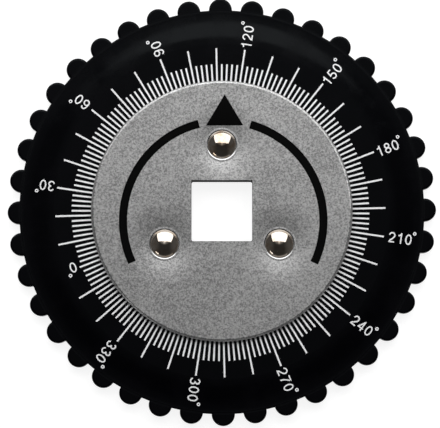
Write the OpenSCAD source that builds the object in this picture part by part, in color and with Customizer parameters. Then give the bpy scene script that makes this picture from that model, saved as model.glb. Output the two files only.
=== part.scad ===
// Torque angle gauge for a square drive.
// A lobed dial turns on a hub that is riveted between two round plates.
// It lies on its back plate with the scale face up and the pointer towards +Y.

/* [Drive square] */
// Nominal size of the square drive that passes through the gauge
drive_size = 12.7; // [9.5:0.1:14]
// Clearance across the flats of the square hole
drive_clearance = 0.2; // [0.1:0.05:0.5]
// Corner radius of the square hole
drive_corner_r = 0.4; // [0.2:0.05:1]

/* [Plates] */
// Diameter of the front and back plates
plate_d = 55.4; // [52:0.2:62]
// Thickness of each plate
plate_t = 1; // [0.8:0.05:1.6]
// Radius of the rolled edge on the outer face of each plate
plate_edge_r = 0.6; // [0.3:0.05:0.7]
// Radius of the dimple that riveting presses into the front plate
dimple_r = 8.8; // [6:0.2:9.4]
// Depth of a dimple, at the seat of the rivet's head
dimple_depth = 0.35; // [0.1:0.05:0.4]

/* [Hub] */
// Diameter of the hub that the dial turns on
hub_d = 36; // [34:0.5:39]
// Thickness of the hub, which holds the plates apart
hub_t = 2.9; // [2.4:0.1:4]

/* [Rivets] */
// Distance of a rivet's axis from the hub's edge
rivet_edge = 4; // [3.4:0.1:4.8]
// Diameter of a rivet's shank
rivet_d = 3.5; // [3:0.1:4]
// Radial clearance around a shank
rivet_clearance = 0.02; // [0.01:0.01:0.05]
// Diameter of a rivet's domed head
rivet_head_d = 6; // [5:0.1:6.6]
// Height of a rivet's domed head
rivet_head_h = 1.4; // [1:0.1:2]
// Widest diameter of a rivet's closed end, set flush in the back plate
rivet_tail_d = 5.1; // [4.4:0.1:5.4]
// Depth of the closed end
rivet_tail_h = 0.75; // [0.5:0.05:0.75]

/* [Slip washers] */
// Distance of the slip washers' edge inside the plates' edge
washer_inset = 2.2; // [1:0.1:4]
// Thickness of each slip washer
washer_t = 0.2; // [0.1:0.05:0.3]
// Radial gap between the hub and what is threaded over it
washer_gap = 0.3; // [0.2:0.05:0.6]

/* [Wave spring] */
// Width of the spring's strip
spring_w = 5.5; // [4:0.25:6.5]
// Thickness of the spring's strip
spring_t = 0.2; // [0.1:0.05:0.3]
// Height of a wave, crest to trough
spring_wave = 0.3; // [0.15:0.05:0.4]
// Number of waves around the spring
spring_waves = 3; // [3:1:6]

/* [Dial] */
// Diameter of the rim between the lobes
rim_d = 85.8; // [82:0.1:100]
// Number of lobes around the rim
lobe_count = 40; // [30:1:42]
// Diameter of each lobe
lobe_d = 4.9; // [3.6:0.1:5.2]
// Distance of a lobe's centre outside the rim
lobe_out = 0.05; // [0:0.05:0.6]
// How far the ends of a lobe lie inside the faces of the rim
lobe_inset = 0.05; // [0.05:0.05:0.3]
// Angle of the first lobe from +X
lobe_phase = 0.4; // [0:0.1:8.9]
// Radius along the edges of the rim and the lobes
rim_edge_r = 0.45; // [0.3:0.05:0.9]
// Width of the level flange that the lobes stand on
flange_w = 0.95; // [0.9:0.05:2]
// Width of the soft shoulder from the scale face down to the flange
shoulder_w = 6.4; // [4:0.1:8]
// Drop of the shoulder
shoulder_drop = 0.3; // [0.2:0.05:0.6]
// Height of the dial's underside over the surface that the gauge lies on
dial_lift = 0.3; // [0.2:0.05:0.5]
// Radial running clearance between the dial's bore and the hub
dial_fit = 0.06; // [0.02:0.01:0.1]
// Radial gap around the back plate in the dial's pocket
pocket_gap = 0.6; // [0.4:0.1:1.2]
// Wall left between the pocket and the cores in the dial's back
core_wall = 1.8; // [1.2:0.1:3]
// Wall left between the cores and the rim
core_rim = 3; // [2.5:0.1:4]
// Depth of the cores in the dial's back
core_depth = 1.5; // [0.8:0.1:1.8]
// Number of ribs between the cores
rib_count = 20; // [8:1:24]
// Thickness of a rib
rib_t = 1.4; // [1:0.1:2.4]
// Axial gap between neighbours in the stack of dial, washers and spring
stack_gap = 0.03; // [0.01:0.01:0.05]

/* [Hidden] */
$fn = 96;
drive_hole = drive_size + drive_clearance;
plate_r = plate_d / 2;
hub_r = hub_d / 2;
hub_z = plate_t;
front_z = hub_z + hub_t;
front_top = front_z + plate_t;
seat_z = front_top - dimple_depth;
seat_margin = 0.2;
rivet_ring_r = hub_r - rivet_edge;
rivet_hole_d = rivet_d + 2 * rivet_clearance;
rivet_angles = [90, 210, 330];

// Heights in the stack, from the back plate up to the front plate
spring_z = hub_z + stack_gap;
spring_h = spring_t + spring_wave;
rear_washer_z = spring_z + spring_h + stack_gap;
land_z = rear_washer_z + washer_t + stack_gap;
front_washer_z = front_z - stack_gap - washer_t;
face_z = front_washer_z - stack_gap;

// Radii and heights of the dial
bore_r = hub_r + dial_fit;
pocket_r = plate_r + pocket_gap;
rim_r = rim_d / 2;
flange_r = rim_r - flange_w;
face_r = flange_r - shoulder_w;
flange_z = face_z - shoulder_drop;
lobe_r = lobe_d / 2;

// Radii of what is threaded over the hub
washer_in_r = hub_r + washer_gap;
washer_r = plate_r - washer_inset;
spring_in_r = (washer_in_r + washer_r - spring_w) / 2;
spring_steps = 96;

// A cutter goes this far past the faces it cuts
past = 0.5;

// The square hole's outline, with round corners
module drive_outline() {
    flat = drive_hole - 2 * drive_corner_r;
    square([flat, drive_hole], center = true);
    square([drive_hole, flat], center = true);
    for (sx = [-1, 1], sy = [-1, 1])
        translate([sx * flat / 2, sy * flat / 2])
            circle(r = drive_corner_r);
}

module drive_cut(z, h) {
    translate([0, 0, z - past])
        linear_extrude(h + 2 * past)
            drive_outline();
}

module at_rivets() {
    for (a = rivet_angles)
        rotate(a)
            translate([rivet_ring_r, 0, 0])
                children();
}

module rivet_cut(z, h) {
    at_rivets()
        translate([0, 0, z - past])
            cylinder(d = rivet_hole_d, h = h + 2 * past);
}

// What riveting presses out of the front plate: a level seat, and a flank that eases into the face
module dimple_cut() {
    seat_r = rivet_head_d / 2 + seat_margin;
    crown_x = dimple_r + past;
    run = crown_x - seat_r;
    crown_z = (run * run - past * past + dimple_depth * dimple_depth) / (2 * dimple_depth);
    at_rivets()
        translate([0, 0, front_top])
            rotate_extrude()
                difference() {
                    translate([0, -dimple_depth])
                        square([crown_x, dimple_depth + past]);
                    translate([crown_x, -crown_z])
                        circle(r = sqrt(crown_z * crown_z + past * past), $fn = 720);
                }
}

// A quarter of a disc, which rounds an outer corner of a section
module quarter_round(r) {
    intersection() {
        circle(r = r);
        square(r);
    }
}

// Half section of a disc from the axis out to r, with rounded outer corners where asked
module disc_section(r, h, low_edge, high_edge) {
    polygon([
        [0, 0],
        [r - low_edge, 0],
        [r - low_edge, low_edge],
        [r, low_edge],
        [r, h - high_edge],
        [r - high_edge, h - high_edge],
        [r - high_edge, h],
        [0, h]
    ]);
    if (low_edge > 0)
        translate([r - low_edge, low_edge])
            mirror([0, 1])
                quarter_round(low_edge);
    if (high_edge > 0)
        translate([r - high_edge, h - high_edge])
            quarter_round(high_edge);
}

module front_plate() {
    color("silver")
        difference() {
            translate([0, 0, front_z])
                rotate_extrude()
                    disc_section(plate_r, plate_t, 0, plate_edge_r);
            drive_cut(front_z, plate_t);
            rivet_cut(front_z, plate_t);
            dimple_cut();
        }
}

module hub_spacer() {
    color("gray")
        difference() {
            translate([0, 0, hub_z])
                cylinder(r = hub_r, h = hub_t);
            drive_cut(hub_z, hub_t);
            rivet_cut(hub_z, hub_t);
        }
}

// The countersinks take the rivets' closed ends, so the back stays flat
module back_plate() {
    color("silver")
        difference() {
            rotate_extrude()
                disc_section(plate_r, plate_t, plate_edge_r, 0);
            drive_cut(0, plate_t);
            rivet_cut(0, plate_t);
            at_rivets()
                rivet_tail(rivet_clearance);
        }
}

// A closed end that widens towards the back, grown by a clearance all round
module rivet_tail(grow) {
    cylinder(d1 = rivet_tail_d + 2 * grow, d2 = rivet_d + 2 * grow, h = rivet_tail_h);
}

// One rivet: domed head seated in the front plate, shank, and closed end in the back plate
module rivet(angle) {
    head_r = rivet_head_d / 2;
    dome_r = (head_r * head_r + rivet_head_h * rivet_head_h) / (2 * rivet_head_h);
    color("lightgray")
        rotate(angle)
            translate([rivet_ring_r, 0, 0]) {
                rivet_tail(0);
                cylinder(d = rivet_d, h = seat_z);
                translate([0, 0, seat_z])
                    rotate_extrude()
                        intersection() {
                            translate([0, rivet_head_h - dome_r])
                                circle(r = dome_r);
                            square([head_r, rivet_head_h]);
                        }
            }
}

module rivet_top() {
    rivet(rivet_angles[0]);
}

module rivet_lower_left() {
    rivet(rivet_angles[1]);
}

module rivet_lower_right() {
    rivet(rivet_angles[2]);
}

// Half section of the soft shoulder: a crowned arc that runs into a hollow one of the same radius
module shoulder_section() {
    half_w = shoulder_w / 2;
    half_drop = shoulder_drop / 2;
    arc_r = (half_w * half_w + half_drop * half_drop) / shoulder_drop;
    intersection() {
        translate([face_r, face_z - arc_r])
            circle(r = arc_r);
        translate([face_r, flange_z])
            square([half_w, shoulder_drop]);
    }
    difference() {
        translate([face_r + half_w, flange_z])
            square([half_w, half_drop]);
        translate([flange_r, flange_z + arc_r])
            circle(r = arc_r);
    }
}

// Half section of the dial: land on the hub, pocket for the back plate, face, shoulder and rim
module dial_section() {
    low = dial_lift + rim_edge_r;
    high = flange_z - rim_edge_r;
    edge_r = rim_r - rim_edge_r;
    polygon([
        [bore_r, land_z],
        [pocket_r, land_z],
        [pocket_r, dial_lift],
        [edge_r, dial_lift],
        [edge_r, low],
        [rim_r, low],
        [rim_r, high],
        [edge_r, high],
        [edge_r, flange_z],
        [face_r, flange_z],
        [face_r, face_z],
        [bore_r, face_z]
    ]);
    shoulder_section();
    translate([edge_r, low])
        mirror([0, 1])
            quarter_round(rim_edge_r);
    translate([edge_r, high])
        quarter_round(rim_edge_r);
}

// The cores that lighten the dial's back, with a rib under every other lobe
module dial_cores() {
    core_r = pocket_r + core_wall;
    core_out_r = rim_r - core_rim;
    difference() {
        translate([0, 0, dial_lift - past])
            rotate_extrude()
                translate([core_r, 0])
                    square([core_out_r - core_r, core_depth + past]);
        for (i = [0 : rib_count - 1])
            rotate(lobe_phase + i * 360 / rib_count)
                translate([core_r - past, -rib_t / 2, dial_lift - 2 * past])
                    cube([core_out_r - core_r + 2 * past, rib_t, core_depth + 3 * past]);
    }
}

// A grip lobe, a hair lower than the rim at both ends
module lobe() {
    lobe_h = flange_z - dial_lift - 2 * lobe_inset;
    translate([0, 0, dial_lift + lobe_inset])
        rotate_extrude()
            disc_section(lobe_r, lobe_h, rim_edge_r, rim_edge_r);
}

module dial_disc() {
    color([0.07, 0.07, 0.08])
        difference() {
            union() {
                rotate_extrude()
                    dial_section();
                for (i = [0 : lobe_count - 1])
                    rotate(lobe_phase + i * 360 / lobe_count)
                        translate([rim_r + lobe_out, 0, 0])
                            lobe();
            }
            dial_cores();
        }
}

module slip_washer(z) {
    color("whitesmoke")
        translate([0, 0, z])
            difference() {
                cylinder(r = washer_r, h = washer_t);
                translate([0, 0, -past])
                    cylinder(r = washer_in_r, h = washer_t + 2 * past);
            }
}

module front_slip_washer() {
    slip_washer(front_washer_z);
}

module rear_slip_washer() {
    slip_washer(rear_washer_z);
}

// One step of the spring's strip: its four corners at angle a
function strip_corners(a) =
    let (
        low = spring_z + spring_wave * (1 + cos(spring_waves * a)) / 2,
        high = low + spring_t,
        inner = spring_in_r,
        outer = spring_in_r + spring_w
    )
    [
        [inner * cos(a), inner * sin(a), low],
        [outer * cos(a), outer * sin(a), low],
        [outer * cos(a), outer * sin(a), high],
        [inner * cos(a), inner * sin(a), high]
    ];

// Each side of the strip is two triangles from step i to the next
function strip_side(i, side) =
    let (
        here = 4 * i,
        next = 4 * ((i + 1) % spring_steps),
        far = (side + 1) % 4
    )
    [
        [here + side, here + far, next + far],
        [here + side, next + far, next + side]
    ];

module wave_spring() {
    corners = [
        for (i = [0 : spring_steps - 1])
            each strip_corners(i * 360 / spring_steps)
    ];
    sides = [
        for (i = [0 : spring_steps - 1], side = [0 : 3])
            each strip_side(i, side)
    ];
    color("steelblue")
        polyhedron(points = corners, faces = sides);
}

front_plate();
hub_spacer();
back_plate();
dial_disc();
front_slip_washer();
rear_slip_washer();
wave_spring();
rivet_top();
rivet_lower_left();
rivet_lower_right();
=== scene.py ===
import math
import bmesh
import bpy
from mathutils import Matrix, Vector
from mathutils.geometry import delaunay_2d_cdt


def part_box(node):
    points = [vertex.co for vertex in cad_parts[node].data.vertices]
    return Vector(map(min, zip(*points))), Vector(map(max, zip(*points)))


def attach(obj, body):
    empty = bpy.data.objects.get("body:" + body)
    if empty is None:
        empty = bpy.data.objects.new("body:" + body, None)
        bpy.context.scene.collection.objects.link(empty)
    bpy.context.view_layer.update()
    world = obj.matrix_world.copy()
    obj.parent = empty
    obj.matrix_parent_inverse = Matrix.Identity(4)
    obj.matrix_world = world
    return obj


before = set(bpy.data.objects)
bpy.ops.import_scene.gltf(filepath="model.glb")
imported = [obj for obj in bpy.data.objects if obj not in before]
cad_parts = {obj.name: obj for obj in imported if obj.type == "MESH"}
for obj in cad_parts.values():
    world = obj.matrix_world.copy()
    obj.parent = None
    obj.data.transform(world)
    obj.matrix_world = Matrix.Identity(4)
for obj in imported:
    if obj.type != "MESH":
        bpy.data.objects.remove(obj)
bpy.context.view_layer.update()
scene = bpy.context.scene
scene.view_settings.view_transform = "Standard"
mm = 0.001
print("frame loaded with", len(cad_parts), "nodes")

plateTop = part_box("front_plate")[1][2]
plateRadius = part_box("front_plate")[1][0]
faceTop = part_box("dial_disc")[1][2]
rivetNodes = ("rivet_top", "rivet_lower_left", "rivet_lower_right")


def middleOf(node):
    low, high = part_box(node)
    return [(a + b) / 2 for a, b in zip(low, high)]


# Camera

shot = {
    "pixels": (440, 428),        # size of the picture
    "mmPerPixel": 0.2116,        # at the scale face
    "axisPixel": (221.85, 211.05),  # where the turning axis meets the scale face
    "lean": 4.2,                 # degrees off straight down, towards -Y
    "distance": 0.62,            # metres
    "sensor": 36.0,
    "farthest": 20.0,            # metres
}


def placeCamera():
    wide, high = shot["pixels"]
    perPixel = shot["mmPerPixel"] * mm
    aim = Vector((
        (wide / 2 - shot["axisPixel"][0]) * perPixel,
        (shot["axisPixel"][1] - high / 2) * perPixel,
        faceTop,
    ))
    lean = math.radians(shot["lean"])
    back = Vector((0, -math.sin(lean), math.cos(lean)))
    data = bpy.data.cameras.new("camera")
    data.sensor_width = shot["sensor"]
    data.lens = shot["sensor"] * shot["distance"] / (wide * perPixel)
    data.clip_end = shot["farthest"]
    camera = bpy.data.objects.new("camera", data)
    camera.location = aim + back * shot["distance"]
    camera.rotation_euler = (lean, 0, 0)
    scene.collection.objects.link(camera)
    scene.camera = camera


placeCamera()
print("camera placed")


# Sums with shader sockets

class Wire:
    def __init__(self, tree, socket):
        self.tree = tree
        self.socket = socket

    def calc(self, operation, other=None, swap=False):
        node = self.tree.nodes.new("ShaderNodeMath")
        node.operation = operation
        pair = [self, other]
        if swap:
            pair.reverse()
        for slot, value in zip(node.inputs, pair):
            if value is not None:
                plug(self.tree, slot, value)
        return Wire(self.tree, node.outputs[0])

    def __add__(self, other):
        return self.calc("ADD", other)

    def __radd__(self, other):
        return self.calc("ADD", other, swap=True)

    def __sub__(self, other):
        return self.calc("SUBTRACT", other)

    def __rsub__(self, other):
        return self.calc("SUBTRACT", other, swap=True)

    def __mul__(self, other):
        return self.calc("MULTIPLY", other)

    def __rmul__(self, other):
        return self.calc("MULTIPLY", other, swap=True)

    def __pow__(self, other):
        return self.calc("POWER", other)


def plug(tree, slot, value):
    if isinstance(value, Wire):
        tree.links.new(value.socket, slot)
    else:
        slot.default_value = value


# The nodes behind a material or the sky

class Finish:
    def __init__(self, owner, start, space):
        owner.use_nodes = True
        self.owner = owner
        self.tree = owner.node_tree
        self.shader = self.tree.nodes[start]
        self.place = self.node("ShaderNodeTexCoord", output=space)

    def node(self, kind, settings=None, sockets=None, output=0):
        made = self.tree.nodes.new(kind)
        for key, value in (settings or {}).items():
            setattr(made, key, value)
        for key, value in (sockets or {}).items():
            plug(self.tree, made.inputs[key], value)
        return Wire(self.tree, made.outputs[output])

    def noise(self, size, detail=2, rough=0.5, vector=None):
        return self.node(
            "ShaderNodeTexNoise",
            sockets={
                "Vector": vector or self.place,
                "Scale": 1 / size,
                "Detail": detail,
                "Roughness": rough,
            },
        )

    def stretched(self, size):
        return self.node(
            "ShaderNodeMapping",
            {"vector_type": "POINT"},
            {"Vector": self.place, "Scale": size},
        )

    def between(self, value, low, high, toLow=0.0, toHigh=1.0):
        return self.node(
            "ShaderNodeMapRange",
            {"interpolation_type": "SMOOTHSTEP"},
            {"Value": value, "From Min": low, "From Max": high, "To Min": toLow, "To Max": toHigh},
        )

    def mixed(self, factor, first, second):
        return self.node(
            "ShaderNodeMix",
            {"data_type": "RGBA"},
            {6: first, 7: second, 0: factor},
            output=2,
        )

    def along(self, axis):
        return self.node("ShaderNodeSeparateXYZ", sockets={0: self.place}, output=axis)

    def fromAxis(self):
        x = self.along("X")
        y = self.along("Y")
        return (x * x + y * y) ** 0.5

    def ray(self, kind):
        return self.node("ShaderNodeLightPath", output="Is %s Ray" % kind)

    def seen(self):
        # 1 for what the camera sees, straight, in gloss or through glass
        return (self.ray("Camera") + self.ray("Glossy") + self.ray("Transmission")).calc("MINIMUM", 1.0)

    def bump(self, height, depth, strength):
        return self.node(
            "ShaderNodeBump",
            sockets={"Height": height, "Distance": depth, "Strength": strength},
        )

    def set(self, **values):
        names = {
            "colour": "Base Color",
            "roughness": "Roughness",
            "metallic": "Metallic",
            "normal": "Normal",
            "specular": "Specular IOR Level",
            "tint": "Specular Tint",
        }
        for key, value in values.items():
            plug(self.tree, self.shader.inputs[names[key]], value)


def newFinish(name):
    return Finish(bpy.data.materials.new(name), "Principled BSDF", "Object")


def grey(value, warm=0.0):
    return (value * (1 + warm), value, value * (1 - warm), 1)


# Finishes

blackPlastic = {
    "deep": (0.0009, 0.0009, 0.0014, 1),
    "dull": (0.0015, 0.0014, 0.0021, 1),
    "cloudSize": 7 * mm,
    "rubSize": 0.5 * mm,
    "rubStretch": (1, 9, 1),
    "rubShare": 0.3,
    "handled": (0.5, 0.85),      # where cloud and rub pass from polished to handled
    "grainSize": 0.16 * mm,
    "grainDepth": 0.004 * mm,
    "grainStrength": 0.5,
    "gloss": (0.07, 0.2),        # roughness, polished to handled
    "seam": (42.2 * mm, 42.4 * mm, 42.95 * mm, 43.1 * mm),  # the rim's edge is left dull
    "seamMatte": 0.45,
    "specular": 0.056,
    "sheen": (0.88, 0.96, 1.0, 1),
}


def makeBlackPlastic():
    made = newFinish("black_plastic")
    cloud = made.noise(blackPlastic["cloudSize"], 4, 0.6)
    grain = made.noise(blackPlastic["grainSize"], 2, 0.6)
    rub = made.noise(blackPlastic["rubSize"], 3, 0.6, made.stretched(blackPlastic["rubStretch"]))
    handled = made.between(cloud + rub * blackPlastic["rubShare"], *blackPlastic["handled"])
    low, high = blackPlastic["gloss"]
    radius = made.fromAxis()
    a, b, c, d = blackPlastic["seam"]
    seam = made.between(radius, a, b) * made.between(radius, c, d, blackPlastic["seamMatte"], 0.0)
    made.set(
        colour=made.mixed(handled, blackPlastic["deep"], blackPlastic["dull"]),
        roughness=handled * (high - low) + low + seam,
        normal=made.bump(grain, blackPlastic["grainDepth"], blackPlastic["grainStrength"]),
        specular=blackPlastic["specular"],
        tint=blackPlastic["sheen"],
    )
    return made.owner


plateSteel = {
    "dark": grey(0.21),
    "light": grey(0.54, 0.005),
    "grainSize": 0.42 * mm,
    "speckSize": 0.24 * mm,
    "cloudSize": 14 * mm,
    "shares": (0.6, 0.3, 0.1),   # of grain, speck and cloud in the mottle
    "mottle": (0.36, 0.64),      # where it passes from dark to light
    "grainDepth": 0.008 * mm,
    "grainStrength": 0.6,
    "speckDepth": 0.5,           # against the grain's
    "matte": (0.29, 0.37),
    "rolled": 0.16,              # roughness on the rolled edge
    "bare": 0.68,                # share of bare metal, the rest being a dull oxide
    "edge": (0.7 * mm, 0.42 * mm),  # the rolled edge sets in between these distances from the rim
    "shadedWall": grey(0.008),      # painted shade: the sheared wall of the square hole is coloured near black
    "wall": (6.46 * mm, 6.49 * mm),  # from the middle, where that wall ends
    "wallMatte": 0.5,
    "specular": 0.1,
}


def makePlateSteel():
    made = newFinish("plate_steel")
    x = made.along("X")
    y = made.along("Y")
    grain = made.noise(plateSteel["grainSize"], 3, 0.65)
    speck = made.noise(plateSteel["speckSize"], 1, 0.5)
    cloud = made.noise(plateSteel["cloudSize"], 3, 0.5)
    a, b, c = plateSteel["shares"]
    mottle = made.between(grain * a + speck * b + cloud * c, *plateSteel["mottle"])
    start, end = plateSteel["edge"]
    rolled = made.between(made.fromAxis(), plateRadius - start, plateRadius - end)
    across = x.calc("ABSOLUTE").calc("MAXIMUM", y.calc("ABSOLUTE"))
    # the square hole's sheared wall is painted near black as shade, and loses its metal
    shadedWall = made.between(across, *plateSteel["wall"], 1.0, 0.0)
    relief = grain + speck * plateSteel["speckDepth"]
    low, high = plateSteel["matte"]
    matte = mottle * (high - low) + low
    face = made.mixed(mottle, plateSteel["dark"], plateSteel["light"])
    made.set(
        colour=made.mixed(shadedWall, face, plateSteel["shadedWall"]),
        metallic=(1 - shadedWall) * plateSteel["bare"],
        roughness=matte + rolled * (plateSteel["rolled"] - low) + shadedWall * plateSteel["wallMatte"],
        normal=made.bump(relief, plateSteel["grainDepth"], plateSteel["grainStrength"]),
        specular=plateSteel["specular"],
    )
    return made.owner


rivetNickel = {
    "bright": (0.6, 0.535, 0.465, 1),
    "brassy": (0.46, 0.355, 0.26, 1),
    "tarnishSize": 2.2 * mm,
    "tarnish": (0.42, 0.7),      # where it passes from bright to brassy
    "scuffSize": 0.3 * mm,
    "scuffStretch": (1, 4, 1),
    "scuff": (0.5, 0.8),
    "gloss": (0.07, 0.2),        # roughness, polished to scuffed
    "scuffDepth": 0.002 * mm,
    "scuffStrength": 0.4,
}


def makeRivetNickel():
    made = newFinish("rivet_nickel")
    tarnish = made.between(made.noise(rivetNickel["tarnishSize"], 3, 0.6), *rivetNickel["tarnish"])
    scuff = made.noise(rivetNickel["scuffSize"], 4, 0.7, made.stretched(rivetNickel["scuffStretch"]))
    made.set(
        colour=made.mixed(tarnish, rivetNickel["bright"], rivetNickel["brassy"]),
        metallic=1.0,
        roughness=made.between(scuff, *rivetNickel["scuff"], *rivetNickel["gloss"]),
        normal=made.bump(scuff, rivetNickel["scuffDepth"], rivetNickel["scuffStrength"]),
    )
    return made.owner


plainMetal = {
    # dark tone, light tone, roughness, share of bare metal
    # the hub spacer shows only as the wall inside the square hole, and is painted near black there as shade,
    # not coloured as steel
    "hub": (grey(0.004), grey(0.012, 0.01), 0.8, 0.0),
    "spring": (grey(0.2, -0.05), grey(0.4, -0.02), 0.3, 1.0),
    "coined": (grey(0.46), grey(0.6), 0.08, 1.0),
    "turnedSize": 0.35 * mm,
    "turnedStretch": (0.2, 0.2, 6),
    "turnedDepth": 0.006 * mm,
    "turnedStrength": 0.5,
    "cloudSize": 5 * mm,
    "shares": (0.6, 0.4),        # of turning marks and cloud in the tone
    "tone": (0.35, 0.65),        # where it passes from dark to light
    "dulling": 0.15,             # roughness that the light tone adds
    "specular": 0.1,
}


def makePlainMetal(name):
    dark, light, matte, bare = plainMetal[name]
    made = newFinish(name + "_steel")
    turned = made.noise(plainMetal["turnedSize"], 3, 0.6, made.stretched(plainMetal["turnedStretch"]))
    cloud = made.noise(plainMetal["cloudSize"], 2)
    a, b = plainMetal["shares"]
    tone = made.between(turned * a + cloud * b, *plainMetal["tone"])
    made.set(
        colour=made.mixed(tone, dark, light),
        metallic=bare,
        roughness=matte + tone * plainMetal["dulling"],
        normal=made.bump(turned, plainMetal["turnedDepth"], plainMetal["turnedStrength"]),
        specular=plainMetal["specular"],
    )
    return made.owner


slipPlastic = {
    "pale": (0.74, 0.73, 0.68, 1),
    "rubbed": (0.55, 0.54, 0.5, 1),
    "rubSize": 1.6 * mm,
    "rub": (0.45, 0.7),          # where it passes from pale to rubbed
    "rubDepth": 0.004 * mm,
    "rubStrength": 0.4,
    "matte": (0.42, 0.62),       # roughness, pale to rubbed
}


def makeSlipPlastic():
    made = newFinish("slip_plastic")
    rubbed = made.between(made.noise(slipPlastic["rubSize"], 4, 0.6), *slipPlastic["rub"])
    low, high = slipPlastic["matte"]
    made.set(
        colour=made.mixed(rubbed, slipPlastic["pale"], slipPlastic["rubbed"]),
        roughness=rubbed * (high - low) + low,
        normal=made.bump(rubbed, slipPlastic["rubDepth"], slipPlastic["rubStrength"]),
    )
    return made.owner


inks = {
    # full colour, worn colour, roughness
    "white": ((0.95, 0.95, 0.96, 1), (0.78, 0.79, 0.8, 1), 0.5),
    "black": (grey(0.001), grey(0.0025), 0.55),
    "wearSize": 0.35 * mm,
    "wear": (0.52, 0.78),        # where it passes from full to worn
    "wearDepth": 0.003 * mm,
    "wearStrength": 0.4,
    "dulling": 0.2,              # roughness that wear adds
    "specular": 0.04,
}


def makeInk(name):
    full, thin, matte = inks[name]
    made = newFinish(name + "_ink")
    worn = made.between(made.noise(inks["wearSize"], 3, 0.65), *inks["wear"])
    made.set(
        colour=made.mixed(worn, full, thin),
        roughness=matte + worn * inks["dulling"],
        normal=made.bump(worn, inks["wearDepth"], inks["wearStrength"]),
        specular=inks["specular"],
    )
    return made.owner


def dress(node, material):
    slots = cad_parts[node].data.materials
    slots.clear()
    slots.append(material)


steel = makePlateSteel()
coined = makePlainMetal("coined")
nickel = makeRivetNickel()
slip = makeSlipPlastic()
dress("dial_disc", makeBlackPlastic())
dress("front_plate", steel)
dress("back_plate", steel)
# the hub's finish is painted shade: near black, where the spacer is steel
dress("hub_spacer", makePlainMetal("hub"))
dress("wave_spring", makePlainMetal("spring"))
dress("front_slip_washer", slip)
dress("rear_slip_washer", slip)
for name in rivetNodes:
    dress(name, nickel)
whiteInk = makeInk("white")
blackInk = makeInk("black")
print("finishes made")


# Printed marks are thin films of ink that follow the surface below them

film = {
    "thick": 0.02 * mm,          # over the surface
    "rooted": 0.02 * mm,         # into the surface
    "step": 0.3 * mm,            # longest stretch of a stroke between points
    "merge": 0.0001 * mm,
}


def covers(loop, point):
    # for a loop that bulges all round and runs anticlockwise
    return all((b - a).cross(point - a) >= 0 for a, b in zip(loop, loop[1:] + loop[:1]))


def printFilm(name, outlines, heightAt, material, body, within=()):
    points = []
    faces = []
    for outline in outlines:
        faces.append(list(range(len(points), len(points) + len(outline))))
        points += [Vector(p) / mm for p in outline]
    loops = [[points[i] for i in face] for face in faces]
    points += [Vector(p) / mm for p in within]
    flat, _, pieces = delaunay_2d_cdt(points, [], faces, 1, film["merge"] / mm)[:3]
    inked = []
    for piece in pieces:
        middle = sum((flat[i] for i in piece), Vector((0, 0))) / len(piece)
        if any(covers(loop, middle) for loop in loops):
            inked.append(piece)
    mesh = bmesh.new()
    top = {}
    low = {}
    for index in sorted({i for piece in inked for i in piece}):
        x, y = flat[index] * mm
        z = heightAt(x, y)
        top[index] = mesh.verts.new((x, y, z + film["thick"]))
        low[index] = mesh.verts.new((x, y, z - film["rooted"]))
    sides = {}
    for piece in inked:
        mesh.faces.new([top[i] for i in piece])
        mesh.faces.new([low[i] for i in reversed(piece)])
        for a, b in zip(piece, piece[1:] + piece[:1]):
            if (b, a) in sides:
                del sides[(b, a)]
            else:
                sides[(a, b)] = True
    for a, b in sides:
        mesh.faces.new((top[b], top[a], low[a], low[b]))
    bmesh.ops.recalc_face_normals(mesh, faces=mesh.faces)
    data = bpy.data.meshes.new(name)
    mesh.to_mesh(data)
    mesh.free()
    data.materials.append(material)
    piece = bpy.data.objects.new(name, data)
    scene.collection.objects.link(piece)
    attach(piece, body)
    return piece


def ribbon(path, width, closed=False):
    # quads along a path, square across it at every point
    dense = []
    last = path[1:] + path[:1] if closed else path[1:]
    for a, b in zip(path, last):
        count = max(1, math.ceil((Vector(b) - Vector(a)).length / film["step"]))
        dense += [Vector(a).lerp(Vector(b), i / count) for i in range(count)]
    if not closed:
        dense.append(Vector(path[-1]))
    total = len(dense)
    left = []
    right = []
    for i, here in enumerate(dense):
        before = dense[i - 1] if closed or i else here
        after = dense[(i + 1) % total] if closed or i < total - 1 else here
        inward = (here - before).normalized() if here != before else (after - here).normalized()
        onward = (after - here).normalized() if after != here else inward
        along = (inward + onward).normalized()
        reach = width / 2 / max(0.5, along.dot(onward))
        across = Vector((-along.y, along.x)) * reach
        left.append(here + across)
        right.append(here - across)
    count = total if closed else total - 1
    return [
        [right[i], right[(i + 1) % total], left[(i + 1) % total], left[i]]
        for i in range(count)
    ]


def arc(cx, cy, rx, ry, start, end, steps=18):
    turns = [math.radians(start + (end - start) * i / steps) for i in range(steps + 1)]
    return [(cx + rx * math.cos(t), cy + ry * math.sin(t)) for t in turns]


def ring(cx, cy, rx, ry, steps=28):
    return arc(cx, cy, rx, ry, 0, 360 - 360 / steps, steps - 1)


def smooth(points, steps=6):
    # a curve through the points
    ends = [points[0]] + points + [points[-1]]
    path = []
    for a, b, c, d in zip(ends, ends[1:], ends[2:], ends[3:]):
        for i in range(steps):
            t = i / steps
            path.append(tuple(
                0.5 * (2 * q + (r - p) * t + (2 * p - 5 * q + 4 * r - s) * t * t
                       + (3 * q - p - 3 * r + s) * t ** 3)
                for p, q, r, s in zip(a, b, c, d)
            ))
    path.append(points[-1])
    return path


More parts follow.
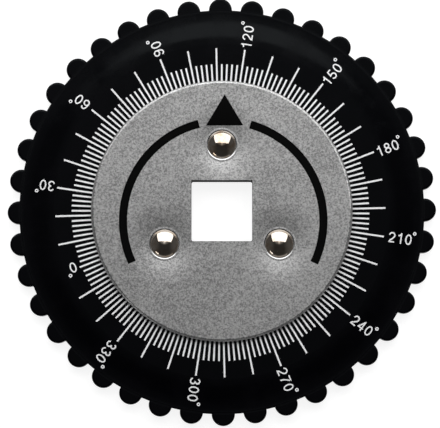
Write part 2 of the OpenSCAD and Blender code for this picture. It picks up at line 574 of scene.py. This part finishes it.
# Strokes of the plain upright numerals, in cap heights: a path, and whether it is closed
tail = [(0.08, 0.3), (0.085, 0.55), (0.14, 0.79), (0.25, 0.915), (0.36, 0.93), (0.47, 0.88), (0.54, 0.77)]
numerals = {
    "0": [(ring(0.32, 0.5, 0.245, 0.43), True)],
    "1": [
        ([(0.4, 1), (0.4, 0)], False),
        (smooth([(0.12, 0.74), (0.27, 0.77), (0.36, 0.86), (0.4, 0.99)]), False),
    ],
    "2": [(
        arc(0.32, 0.69, 0.24, 0.24, 180, -20)
        + smooth([(0.49, 0.5), (0.3, 0.32), (0.15, 0.18), (0.09, 0.07)]) + [(0.58, 0.07)],
        False,
    )],
    "3": [
        (arc(0.31, 0.725, 0.21, 0.205, 170, -90), False),
        (arc(0.31, 0.295, 0.245, 0.225, 90, -170), False),
    ],
    "4": [([(0.6, 0.26), (0.07, 0.26), (0.43, 0.94)], False), ([(0.44, 1), (0.44, 0)], False)],
    "5": [([(0.54, 0.93), (0.17, 0.93), (0.1, 0.47)] + arc(0.31, 0.315, 0.25, 0.245, 140, -160), False)],
    "6": [(ring(0.32, 0.31, 0.24, 0.24), True), (smooth(tail), False)],
    "7": [([(0.06, 0.93), (0.58, 0.93)] + smooth([(0.56, 0.86), (0.4, 0.6), (0.28, 0.3), (0.23, 0)]), False)],
    "8": [(ring(0.32, 0.725, 0.2, 0.205), True), (ring(0.32, 0.285, 0.24, 0.215), True)],
    "9": [(ring(0.32, 0.69, 0.24, 0.24), True), (smooth([(0.64 - x, 1 - y) for x, y in tail]), False)],
}


# Scale on the dial

scale = {
    "zeroAt": 201.45,            # degrees from +X to the zero mark, the dial being set off its zero
    "minorStep": 2,
    "majorStep": 10,
    "labelStep": 30,
    "inner": 27.0 * mm,          # the marks start under the plate's edge
    "minorOuter": 31.5 * mm,
    "majorOuter": 34.95 * mm,
    "zeroOuter": 31.95 * mm,     # the zero mark stops short, close to its label
    "tick": 0.37 * mm,
    "capHeight": 2.25 * mm,
    "advance": 1.76 * mm,
    "stroke": 0.29 * mm,
    "labelStart": 35.45 * mm,
    "labelDrop": 0.16 * mm,      # labels sit a little to one side of their mark
    "labelShift": {              # the print is uneven: mm outwards and mm sideways
        0: (-2.9, -0.3), 30: (0.1, 0.0), 60: (0.5, 0.1), 90: (0.2, -0.1),
        120: (-0.2, 0.0), 150: (-0.2, -0.1), 180: (0.0, -0.1), 210: (0.5, 0.3),
        240: (0.4, 0.0), 270: (0.0, 0.0), 300: (0.0, 0.2), 330: (0.2, -0.3),
    },
    "ringSize": 0.27 * mm,       # the degree sign
    "ringStroke": 0.23 * mm,
    "ringGap": 0.1 * mm,         # past the last digit, to its middle
    "ringRise": 2.55 * mm,       # over the foot of the digits
    "offAxis": (-0.3 * mm, -0.22 * mm),  # the print is not quite true to the axis
}
dialForm = {
    "rim": 42.9 * mm,
    "flange": 0.95 * mm,         # level, inside the rim
    "shoulder": 6.4 * mm,        # inside the flange
    "drop": 0.3 * mm,            # from the face to the flange
}


def dialHeight(x, y):
    # level face, then a crowned arc and a hollow arc of one radius
    half = dialForm["shoulder"] / 2
    fall = dialForm["drop"] / 2
    bend = (half * half + fall * fall) / dialForm["drop"]
    outer = dialForm["rim"] - dialForm["flange"]
    inner = outer - dialForm["shoulder"]
    r = math.hypot(x, y)
    if r <= inner:
        return faceTop
    if r <= inner + half:
        return faceTop - bend + math.sqrt(bend ** 2 - (r - inner) ** 2)
    if r <= outer:
        return faceTop - dialForm["drop"] + bend - math.sqrt(bend ** 2 - (outer - r) ** 2)
    return faceTop - dialForm["drop"]


def onDial(degrees):
    turn = math.radians(scale["zeroAt"] - degrees)
    out = Vector((math.cos(turn), math.sin(turn)))
    return Vector(scale["offAxis"]), out, Vector((-out.y, out.x))


def makeTicks():
    outlines = []
    for degrees in range(0, 360, scale["minorStep"]):
        centre, out, side = onDial(degrees)
        reach = scale["minorOuter"] if degrees % scale["majorStep"] else scale["majorOuter"]
        if degrees == 0:
            reach = scale["zeroOuter"]
        near = centre + out * scale["inner"]
        far = centre + out * reach
        half = side * scale["tick"] / 2
        outlines.append([near - half, far - half, far + half, near + half])
    return printFilm("scale_marks", outlines, dialHeight, whiteInk, "dial")


def makeLabel(degrees):
    centre, out, side = onDial(degrees)
    cap = scale["capHeight"]
    start, rise = [shift * mm for shift in scale["labelShift"][degrees]]
    start += scale["labelStart"]
    rise -= scale["labelDrop"]
    base = centre + out * start + side * (rise - cap / 2)
    outlines = []
    pen = 0.0
    for digit in str(degrees):
        for path, closed in numerals[digit]:
            placed = [base + out * (pen + x * cap) + side * (y * cap) for x, y in path]
            outlines += ribbon(placed, scale["stroke"], closed)
        pen += scale["advance"]
    middle = base + out * (pen + scale["ringGap"]) + side * scale["ringRise"]
    loop = [middle + Vector(p) for p in ring(0, 0, scale["ringSize"], scale["ringSize"], 16)]
    outlines += ribbon(loop, scale["ringStroke"], True)
    return printFilm("scale_number_%d" % degrees, outlines, dialHeight, whiteInk, "dial")


makeTicks()
for degrees in range(0, 360, scale["labelStep"]):
    makeLabel(degrees)
print("scale printed")


# Pointer and bands on the front plate

marks = {
    "pointerX": 0.6 * mm,
    "pointerTip": 24.7 * mm,
    "pointerBase": 18.1 * mm,
    "pointerHalf": 3.94 * mm,
    "pointerStep": 0.4 * mm,     # between the points that let it follow the plate
    "bandCentre": (0.29 * mm, -2.11 * mm),
    "bandInner": 20.3 * mm,
    "bandOuter": 22.03 * mm,
    "bandSteps": 72,
    "bands": {"left": (104.1, 204.7), "right": (-25.0, 74.3)},  # degrees about the bands' centre
}
plateForm = {
    "reach": 8.8 * mm,           # of the pressed dimple round each rivet
    "seat": 3.2 * mm,
    "depth": 0.35 * mm,
    "past": 0.5 * mm,            # the flank's crown lies this far outside the reach
}


def plateHeight(x, y):
    # level, with a seat and a crowned flank in each dimple
    past = plateForm["past"]
    depth = plateForm["depth"]
    crown = plateForm["reach"] + past
    run = crown - plateForm["seat"]
    fall = (run * run - past * past + depth * depth) / depth / 2
    height = plateTop
    for node in rivetNodes:
        middle = middleOf(node)
        away = math.hypot(x - middle[0], y - middle[1])
        if away < plateForm["seat"]:
            height = min(height, plateTop - depth)
        elif away < plateForm["reach"]:
            flank = math.sqrt(fall * fall + past * past - (crown - away) ** 2)
            height = min(height, plateTop - fall + flank)
    return height


def makePointer():
    x = marks["pointerX"]
    half = marks["pointerHalf"]
    base = marks["pointerBase"]
    rise = marks["pointerTip"] - base
    step = marks["pointerStep"]
    corners = [Vector((x - half, base)), Vector((x + half, base)), Vector((x, base + rise))]
    outline = []
    for a, b in zip(corners, corners[1:] + corners[:1]):
        count = math.ceil((b - a).length / step)
        outline += [a.lerp(b, i / count) for i in range(count)]
    within = []
    for row in range(1, math.floor(rise / step)):
        wide = half * (1 - row * step / rise) - step / 2
        count = max(1, math.floor(2 * wide / step))
        within += [(x - wide + 2 * wide * i / count, base + row * step) for i in range(count + 1)]
    return printFilm("pointer", [outline], plateHeight, blackInk, "hub", within)


def makeBand(name):
    start, end = marks["bands"][name]
    middle = (marks["bandInner"] + marks["bandOuter"]) / 2
    path = arc(*marks["bandCentre"], middle, middle, start, end, marks["bandSteps"])
    outlines = ribbon([Vector(p) for p in path], marks["bandOuter"] - marks["bandInner"])
    return printFilm("band_" + name, outlines, plateHeight, blackInk, "hub")


collar = {
    "steps": 96,
    "wall": 3,                   # stretches of the profile that are coined bright
    "root": -0.03 * mm,
    "profile": (                 # mm from the rivet's axis and over its seat, from inside out
        (3.02, 0.0), (3.04, 0.003), (3.2, 0.042), (3.23, 0.046),
        (3.26, 0.047), (3.61, 0.047), (3.67, 0.04),
    ),
}


def makeCollar(node):
    # the coined edge that riveting leaves round a head
    middle = middleOf(node)
    seat = plateTop - plateForm["depth"]
    inner = collar["profile"][0][0] * mm
    outer = collar["profile"][-1][0] * mm
    section = [(r * mm, seat + z * mm) for r, z in collar["profile"]]
    section += [(outer, seat + collar["root"]), (inner, seat + collar["root"])]
    mesh = bmesh.new()
    rows = []
    for i in range(collar["steps"]):
        turn = 2 * math.pi * i / collar["steps"]
        spot = (math.cos(turn), math.sin(turn))
        rows.append([
            mesh.verts.new((middle[0] + r * spot[0], middle[1] + r * spot[1], z)) for r, z in section
        ])
    for here, onward in zip(rows, rows[1:] + rows[:1]):
        for i in range(len(section)):
            j = (i + 1) % len(section)
            face = mesh.faces.new((here[i], onward[i], onward[j], here[j]))
            face.smooth = True
            face.material_index = 0 if i < collar["wall"] else 1
    bmesh.ops.recalc_face_normals(mesh, faces=mesh.faces)
    data = bpy.data.meshes.new("collar_" + node)
    mesh.to_mesh(data)
    mesh.free()
    data.materials.append(coined)
    data.materials.append(steel)
    piece = bpy.data.objects.new("collar_" + node, data)
    scene.collection.objects.link(piece)
    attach(piece, "hub")
    return piece


for name in rivetNodes:
    makeCollar(name)
makePointer()
for name in marks["bands"]:
    makeBand(name)
print("plate printed")


# Floor and light

studio = {
    "floorSize": 6.0,            # metres, as are the lamps
    "floorCells": 8,
    "floorTone": 0.3,
    "floorGrain": 3 * mm,
    "floorPatch": (0.3, 0.7),
    "floorMatte": (0.75, 0.9),   # roughness over those patches
    "floorSpecular": 0.1,
    "floorGlow": 0.88,           # added for what the camera and the gloss see
    "floorDrop": 0.05 * mm,      # keeps it clear of the back plate
    "roomTone": 0.035,
    "ceilingTone": 1.0,
    "ceilingLean": 31,           # degrees from straight up, towards +Y
    "ceiling": (0.79, 0.985),    # the room lightens between these cosines off that line
    "strip": (0.05, 0.16),       # to either side the ceiling falls off between these
    "stripEdge": 0.35,           # to this share
    "skirt": (0.09, 0.16, 0.24, 0.34),  # heights of a paler band all round
    "skirtTone": 0.05,
    "sides": (0.4, 0.95),        # to either side the room lightens between these
    "sideTone": 0.06,
    "wallTop": (0.0, 0.05),      # the pale wall fades out between these heights
    "wallSide": (0.3, 0.75),     # and stands behind the gauge only
    "softbox": {"size": (0.85, 0.6), "lean": 51, "turn": 87, "distance": 0.44, "radiance": 2.3},
    "corner": {"size": (0.16, 0.05), "lean": 77, "turn": 228, "distance": 0.5, "radiance": 2.5},
    "front": {"size": (0.9, 0.08), "lean": 84, "turn": 270, "distance": 0.5, "radiance": 0.35},
}


def makeFloor():
    place = (0, 0, -studio["floorDrop"])
    cells = studio["floorCells"]
    bpy.ops.mesh.primitive_grid_add(
        x_subdivisions=cells, y_subdivisions=cells, size=studio["floorSize"], location=place,
    )
    floor = bpy.context.object
    floor.name = "floor"
    made = newFinish("pale_floor")
    paper = made.noise(studio["floorGrain"], 3)
    made.set(
        colour=grey(studio["floorTone"]),
        roughness=made.between(paper, *studio["floorPatch"], *studio["floorMatte"]),
        specular=studio["floorSpecular"],
    )
    glow = made.node("ShaderNodeEmission", sockets={"Strength": studio["floorGlow"]})
    plain = Wire(made.tree, made.shader.outputs[0])
    lifted = made.node("ShaderNodeAddShader", sockets={0: plain, 1: glow})
    above = made.node("ShaderNodeMixShader", sockets={0: made.seen(), 1: plain, 2: lifted})
    under = made.node("ShaderNodeNewGeometry", output="Backfacing")
    clear = made.node("ShaderNodeBsdfTransparent")
    shown = made.node("ShaderNodeMixShader", sockets={0: under, 1: above, 2: clear})
    plug(made.tree, made.tree.nodes["Material Output"].inputs["Surface"], shown)
    floor.data.materials.append(made.owner)


def makeSky():
    scene.world = bpy.data.worlds.new("studio")
    made = Finish(scene.world, "Background", "Generated")
    height = made.along("Z")
    away = made.along("Y")
    low = made.between(height, *studio["wallTop"], 1.0, 0.0)
    behind = made.between(away, *studio["wallSide"])
    pale = made.ray("Camera").calc("MAXIMUM", made.seen() * low * behind)
    lean = math.radians(studio["ceilingLean"])
    overhead = height * math.cos(lean) + away * math.sin(lean)
    a, b, c, d = studio["skirt"]
    skirt = made.between(height, a, b) * made.between(height, c, d, studio["skirtTone"], 0.0)
    across = made.along("X").calc("ABSOLUTE")
    aside = made.between(across, *studio["sides"], 0.0, studio["sideTone"])
    strip = made.between(across, *studio["strip"], 1.0, studio["stripEdge"])
    ceiling = made.between(overhead, *studio["ceiling"], 0.0, studio["ceilingTone"]) * strip
    room = ceiling + studio["roomTone"] + skirt.calc("MAXIMUM", aside)
    plug(made.tree, made.shader.inputs["Color"], grey(1.0))
    plug(made.tree, made.shader.inputs["Strength"], pale + room * (1 - pale))


def addLight(name):
    spec = studio[name]
    data = bpy.data.lights.new(name, "AREA")
    data.shape = "RECTANGLE"
    data.size, data.size_y = spec["size"]
    data.energy = spec["radiance"] * math.pi * data.size * data.size_y
    lean = math.radians(spec["lean"])
    turn = math.radians(spec["turn"])
    aside = Vector((math.cos(turn), math.sin(turn), 0)) * math.sin(lean)
    towards = aside + Vector((0, 0, math.cos(lean)))
    lamp = bpy.data.objects.new(name, data)
    lamp.location = towards * spec["distance"]
    lamp.rotation_euler = towards.to_track_quat("Z", "Y").to_euler()
    lamp.visible_camera = False
    scene.collection.objects.link(lamp)


makeFloor()
makeSky()
for name in ("softbox", "corner", "front"):
    addLight(name)
print("studio lit")
